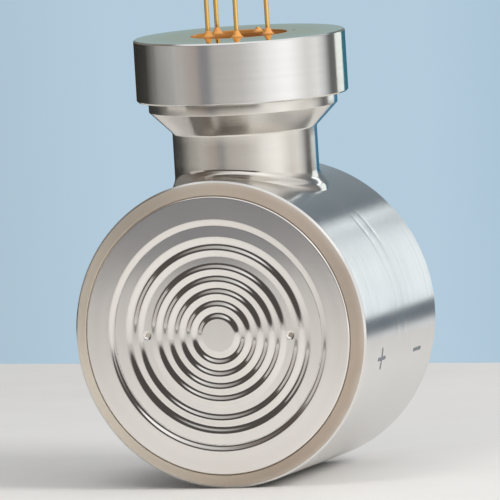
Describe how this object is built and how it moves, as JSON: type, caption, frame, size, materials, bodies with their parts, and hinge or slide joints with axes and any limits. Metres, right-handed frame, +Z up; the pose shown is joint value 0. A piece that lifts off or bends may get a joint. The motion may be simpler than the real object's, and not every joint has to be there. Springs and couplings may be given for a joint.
{
  "type": "differential pressure sensor",
  "caption": "Welded steel capsule with a corrugated isolating diaphragm on each face, and a neck that carries a header with contact pins sealed in glass.",
  "frame": {"origin": "centre of the round barrel, halfway between the high and low pressure faces", "axes": "+Z up the neck to the contact pins, Y along the barrel's axis with the high pressure face towards -Y, +X to the right seen from that face"},
  "size_m": [0.04, 0.0294, 0.0688],
  "materials": {
    "barrel_steel": "fine turned stainless steel, satin",
    "neck_steel": "turned stainless steel, semi-bright",
    "header_steel": "finely turned and polished stainless steel",
    "ring_steel": "lapped stainless steel, bright",
    "foil_steel": "bright rolled foil with pressed waves",
    "inner_steel": "plain machined steel",
    "screw_steel": "plain stainless steel",
    "amber_glass": "fused amber sealing glass, glossy",
    "gold_plating": "gold plating, satin",
    "pedestal_glass": "clear borosilicate glass",
    "silicon": "polished silicon",
    "ceramic": "matt white alumina"
  },
  "bodies": {
    "root": {"front_half_body": "barrel_steel", "rear_half_body": "barrel_steel", "front_isolating_diaphragm": "foil_steel", "rear_isolating_diaphragm": "foil_steel", "front_weld_ring": "ring_steel", "rear_weld_ring": "ring_steel", "overload_diaphragm": "inner_steel", "neck": "neck_steel", "header_body": "header_steel", "glass_seal": "amber_glass", "contact_pin_1": "gold_plating", "contact_pin_2": "gold_plating", "contact_pin_3": "gold_plating", "contact_pin_4": "gold_plating", "contact_pin_5": "gold_plating", "front_capillary": "inner_steel", "rear_capillary": "inner_steel", "capillary_plate": "inner_steel", "chip_pedestal": "pedestal_glass", "sensor_chip": "silicon", "filler_ring": "ceramic", "bond_wires": "gold_plating", "front_fill_plug": "inner_steel", "rear_fill_plug": "inner_steel", "front_fill_screw": "screw_steel", "rear_fill_screw": "screw_steel"}
  },
  "joints": []
}
